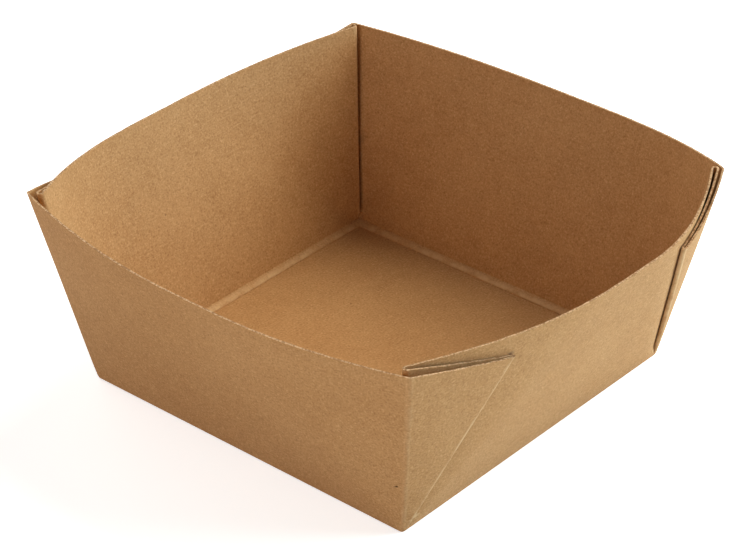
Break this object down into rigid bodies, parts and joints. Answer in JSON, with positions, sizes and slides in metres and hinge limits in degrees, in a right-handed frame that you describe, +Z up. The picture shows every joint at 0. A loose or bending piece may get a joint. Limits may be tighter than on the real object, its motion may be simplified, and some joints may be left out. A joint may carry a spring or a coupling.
{
  "type": "cardboard tray box",
  "caption": "Open square tray of brown kraft board, folded from one sheet, with outward-leaning bowed walls and pleated corners.",
  "frame": {"origin": "middle of the outline seen from above, on the surface that the tray stands on", "axes": "+Z up out of the open side, +X towards the right wall and +Y towards the back wall; the corner gussets lie on the left and right walls"},
  "size_m": [0.1392, 0.137, 0.0545],
  "materials": {
    "kraft_board": "matt, uncoated brown kraft"
  },
  "bodies": {
    "root": {"tray": "kraft_board"}
  },
  "joints": []
}
